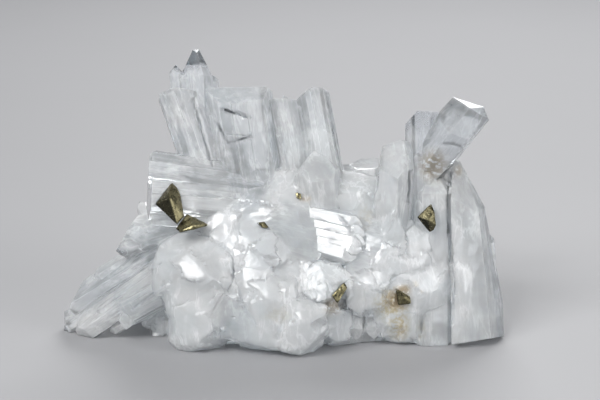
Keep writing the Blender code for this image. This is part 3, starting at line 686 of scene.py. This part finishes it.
# Lengths are in mm, and angles in degrees.
quartzShape = {
    "edgeFront": 0.9,  # longest triangle edge
    "edgeBack": 1.5,
    "edgeFine": 0.5,
    "edgeBelow": 2.0,
    "splitRounds": 6,
    "evenRounds": 6,
    "blend": 14,  # how sharply the look of one crystal turns into that of the next
    "floorHeight": 0.02,  # what lies lower than this rests on the floor and stays flat
    "pocketWall": 0.5,  # what lies nearer to a pyrite than this stays where it is
    "pocketReach": 1.5,  # and what lies further off than this moves freely
    "softRounds": 1,
    "softening": 0.6,
    "softLimit": 0.3,  # how soft a place has to be to break into facets
    "softFade": 0.25,  # how much softer it is where the facets are complete
    "roundings": 4,
    "facets": ({"size": 6.4, "lean": 0.28, "share": 0.85, "most": 0.8, "frostShare": 0, "frostMost": 0},
               {"size": 1.5, "lean": 0.3, "share": 0.08, "most": 0.3, "frostShare": 4, "frostMost": 1}),
    "facetSeed": 3,
    "slide": 0.45,  # how far a point may move to the crease between two facets
    "crumbled": 0.3,
    "faceRelief": 0.02,
    "wornEdge": 0.09,
    "wornGain": 6,
    "wornLimit": 0.3,  # what is sharper than this isn't worn
    "rimGain": 5,
    "crackWander": 0.25,
    "crackReach": 1.4,  # in widths of the crack
    "sharpAngle": 15,
}


def longestQuartzEdge(points):
    look = quartzShape
    layout = layoutOf(points)
    wanted = np.where(layout[:, 2] < 0, look["edgeFront"], look["edgeBack"])
    middle, half, *_ = masses["sparklingPoint"]
    inFrost = np.linalg.norm((layout - middle) / np.array(half), axis=1)
    wanted[(inFrost < 1.25) & (layout[:, 2] < -8)] = look["edgeFine"]
    for line, width, _, _, back in cracks.values():
        beside = (alongLines(layout, line) < 1.5 * width) & (layout[:, 2] < back)
        wanted[beside] = look["edgeFine"]
    wanted[points[:, 2] < look["floorHeight"]] = look["edgeBelow"]
    return wanted


def roomAround(points):
    # how freely each point may move: not at all on the walls of the pyrites' pockets
    room = np.ones(len(points))
    wall, reach = quartzShape["pocketWall"], quartzShape["pocketReach"]
    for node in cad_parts:
        if node.startswith("pyrite"):
            corners, faces = weldedNode(node)
            tree = BVHTree.FromPolygons(corners.tolist(), faces.tolist())
            beside = (points > corners.min(0) - reach) & (points < corners.max(0) + reach)
            near = np.flatnonzero(beside.all(1))
            gaps = np.array([tree.find_nearest(point)[3] for point in points[near].tolist()])
            room[near] = np.minimum(room[near], np.clip(gaps - wall, 0, 1))
    return room


def spotted(layout, places):
    # how strongly each point is stained
    strongest = np.zeros(len(layout))
    for across, up, wide, high, strength in places.values():
        gap = np.hypot((layout[:, 0] - across) / wide, (layout[:, 1] - up) / high)
        near = np.clip(1.5 - gap, 0, 1) * (layout[:, 2] < 0)
        strongest = np.maximum(strongest, strength * near)
    return strongest


def manners(points):
    # how clear, how streaked, how soft and how frosted each point is
    values = ownersOf(points)
    weights = np.exp(-quartzShape["blend"] * (values - values.min(1, keepdims=True)))
    weights /= weights.sum(1, keepdims=True)
    kinds, lumps = list(crystals.values()), list(masses.values())
    clear = weights @ np.array([k[3] for k in kinds] + [m[2] for m in lumps])
    streak = weights @ np.array([k[4] for k in kinds] + [0.0] * len(lumps))
    soft = weights @ np.array([0.0] * len(kinds) + [m[3] for m in lumps])
    frosted = 1.0 * (values.argmin(1) == len(kinds) + list(masses).index("sparklingPoint"))
    return clear, streak, soft, frosted


def brokenFaces(points, triangles, edges, soft, frosted, raised, free):
    # breaks the soft masses into flat facets, large ones first
    look = quartzShape
    broken = soft > look["softLimit"]
    which = np.flatnonzero(broken & raised)
    renumber = np.full(len(points), -1)
    renumber[which] = np.arange(len(which))
    inner = renumber[edges]
    inner = inner[(inner >= 0).all(1)]
    for facet in look["facets"]:
        rounded = points
        for _ in range(look["roundings"]):
            pull = (look["softening"] * broken)[:, None]
            rounded = rounded + (neighbourMean(rounded, edges) - rounded) * pull
        normals = pointNormals(rounded, triangles)[which]
        start = points[which]
        planes = planesOf(start, normals, facet["size"], facet["lean"], look["facetSeed"])
        active = faceting(start, normals, planes)[1]
        slid = creaseSlide(start, normals, inner, planes, active, look["slide"])
        slid = start + (slid - start) * free[which][:, None]
        height = faceting(slid, normals, planes)[0]
        fade = np.clip((soft[which] - look["softLimit"]) / look["softFade"], 0, 1) * facet["share"]
        fade = fade * (1 + facet["frostShare"] * frosted[which]) * free[which]
        most = facet["most"] * (1 + facet["frostMost"] * frosted[which])
        points[which] = slid + normals * (np.clip(height, -most, most) * fade)[:, None]
        pull = (look["crumbled"] * broken * free)[:, None]
        points = points + (neighbourMean(points, edges) - points) * pull
    return points


def cracked(points, layout, seen):
    # how deep and how dark the cracks are at each point
    depths, darks = np.zeros(len(points)), np.zeros(len(points))
    wander = quartzShape["crackWander"] * noiseAt(points, 1.5, 9)[:, None]
    patchy = np.clip(0.8 + noiseAt(points, 2.0, 10), 0, 1)
    for line, width, depth, dark, back in cracks.values():
        gap = alongLines(layout + wander, line)
        inside = np.clip(quartzShape["crackReach"] - gap / width, 0, 1) * (layout[:, 2] < back) * seen
        depths += depth * inside
        darks = np.maximum(darks, dark * inside * patchy)
    return depths, darks


def axesOf(points):
    # the length direction of the crystal that each point belongs to, upright in the masses
    axes = [unit((spot(*tip) - spot(*foot))[None])[0] for foot, tip, *_ in crystals.values()]
    axes += [np.array((0.0, 0.0, 1.0))] * len(masses)
    return np.array(axes)[ownersOf(points).argmin(1)]


def quartzCluster(finish):
    look = quartzShape
    points, triangles = weldedNode("quartz_cluster")
    for _ in range(look["splitRounds"]):
        points, triangles = splitLongEdges(points, triangles, longestQuartzEdge)
    points = evenedOut(points, triangles, look["evenRounds"])
    print("quartz triangles", len(triangles))
    edges = edgesOf(triangles)
    low, high = points.min(0), points.max(0)
    clear, streak, soft, frosted = manners(points)
    raised = points[:, 2] >= look["floorHeight"]
    free = roomAround(points) * raised
    for _ in range(look["softRounds"]):
        pull = (look["softening"] * soft * free)[:, None]
        points = points + (neighbourMean(points, edges) - points) * pull
    points = brokenFaces(points, triangles, edges, soft, frosted, raised, free)
    normals = pointNormals(points, triangles)
    edgy = sharpness(points, triangles, normals)
    layout = layoutOf(points)
    seen = normals @ away < -0.05
    worn = np.clip(edgy * look["wornGain"], 0, 1) * (edgy < look["wornLimit"])
    depths, darks = cracked(points, layout, seen)
    relief = look["faceRelief"] * noiseAt(points, 2.2, 3)
    relief -= look["wornEdge"] * worn * np.clip(0.3 + noiseAt(points, 1.3, 4), 0, 1.2) + depths
    points = np.clip(points + normals * (relief * free)[:, None], low, high)
    made = objectOf("quartz", points, triangles, finish)
    paint(made.data, "axis", axesOf(points[triangles].mean(1)), "FACE")
    # the rim layer whitens the sharp crystal edges: worn white edges and a painted bright rim
    for layer, values in (("clear", clear), ("streak", streak), ("frost", frosted), ("satin", soft),
                          ("rim", np.clip(edgy * look["rimGain"], 0, 1) * (1 - soft)),
                          ("stain", spotted(layout, stains) * seen),
                          ("cream", spotted(layout, creams) * seen), ("deep", darks)):
        paint(made.data, layer, values)
    smoothed(made.data, look["sharpAngle"])
    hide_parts("quartz_cluster")
    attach(made, "root")


# The pyrite

pyriteShape = {
    "grown": 0.2,  # mm that each crystal fills of the gap around it
    "edge": 0.28,  # longest triangle edge in mm
    "splitRounds": 6,
    "relief": 0.05,
    "sharpAngle": 20,
    "brightSide": (0.5, -0.3, 0.8),  # the direction of the faces with the least painted shade
    "darker": {"pyrite_dark": 0.45, "pyrite_stained": 0.1, "pyrite_main": 0.35, "pyrite_wedge": 0.1},
}


def pyriteCrystal(node, finish):
    look = pyriteShape
    points, triangles = weldedNode(node)
    for _ in range(look["splitRounds"]):
        points, triangles = splitLongEdges(points, triangles, lambda p: np.full(len(p), look["edge"]))
    normals = pointNormals(points, triangles)
    points = points + normals * look["grown"]
    steps = noiseAt(points, 0.9, 7) + 0.6 * noiseAt(points, 0.4, 8)
    points = points + normals * (look["relief"] * steps)[:, None]
    made = objectOf(node + "_crystal", points, triangles, finish)
    bright = unit(np.array([look["brightSide"]]))[0]
    # painted shade: faces turned away from the bright side get darker, plus each crystal's own extra
    # darkness
    darkSide = np.clip(0.5 - 0.9 * (normals @ bright), 0, 1) + look["darker"].get(node, 0.0)
    paint(made.data, "tarnishAndShade", np.clip(darkSide, 0, 1))
    smoothed(made.data, look["sharpAngle"])
    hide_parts(node)
    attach(made, "root")


# The studio

studio = {
    "floor": (0.36, 0.36, 0.37),
    "floorPatches": 0.12,  # how far the floor turns to a shade that is a tenth darker
    "floorReach": 3.0,
    "floorHeight": -0.0001,
    "world": (0.62, 0.64, 0.67),
    "worldStrength": 0.3,
    "aim": (0, 0, 0.025),
    # place, width and height in metres, and power in watts
    "lights": {
        "key": ((-0.35, -0.40, 0.50), (0.35, 0.35), 4.0),
        "fill": ((0.55, -0.35, 0.25), (0.4, 0.4), 2.1),
        "back": ((0.12, 0.50, 0.46), (0.5, 0.3), 3.4),
        "spark": ((-0.16, -0.45, 0.42), (0.05, 0.05), 0.45),
    },
}


def softLight(name, place, size, power):
    data = bpy.data.lights.new(name, "AREA")
    data.shape = "RECTANGLE"
    data.size, data.size_y = size
    data.energy = power
    made = bpy.data.objects.new(name, data)
    made.location = Vector(place)
    made.rotation_euler = (Vector(studio["aim"]) - made.location).to_track_quat("-Z", "Y").to_euler()
    bpy.context.scene.collection.objects.link(made)


def studioFloor():
    finish, tree, shader = newFinish("floor")
    patches = ranged(tree, grain(tree, placeInMm(tree), 60, 3), 0.3, 0.7, 0, studio["floorPatches"])
    tint = mixed(tree, patches, studio["floor"], tuple(c * 0.9 for c in studio["floor"]))
    tree.links.new(tint, shader.inputs["Base Color"])
    shader.inputs["Roughness"].default_value = 0.6
    reach, height = studio["floorReach"], studio["floorHeight"]
    corners = [(x * reach, y * reach, height) for x, y in ((-1, -1), (1, -1), (1, 1), (-1, 1))]
    mesh = bpy.data.meshes.new("floor")
    mesh.from_pydata(corners, [], [(0, 1, 2, 3)])
    mesh.materials.append(finish)
    made = bpy.data.objects.new("floor", mesh)
    bpy.context.scene.collection.objects.link(made)


def studioAround():
    studioFloor()
    world = bpy.data.worlds.new("studio")
    world.use_nodes = True
    background = world.node_tree.nodes["Background"]
    background.inputs["Color"].default_value = (*studio["world"], 1)
    background.inputs["Strength"].default_value = studio["worldStrength"]
    bpy.context.scene.world = world
    for name, (place, size, power) in studio["lights"].items():
        softLight(name, place, size, power)


def frontCamera():
    data = bpy.data.cameras.new("camera")
    data.sensor_width = front["sensor"]
    data.lens = front["sensor"] * front["distance"] / front["seenWidth"]
    data.clip_start = 0.01
    made = bpy.data.objects.new("camera", data)
    made.location = Vector((lookedAt - away * front["distance"]) * mm)
    made.rotation_euler = Vector(away).to_track_quat("-Z", "Y").to_euler()
    bpy.context.scene.collection.objects.link(made)
    bpy.context.scene.camera = made


for name in ("Cube", "Light", "Camera"):
    if name in bpy.data.objects:
        bpy.data.objects.remove(bpy.data.objects[name])
frontCamera()
bpy.context.scene.view_settings.view_transform = "Standard"
print("camera set")
studioAround()
print("studio set")
quartzCluster(quartzFinish())
print("quartz made")
brassy = pyriteFinish()
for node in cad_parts:
    if node.startswith("pyrite"):
        pyriteCrystal(node, brassy)
print("pyrite made")
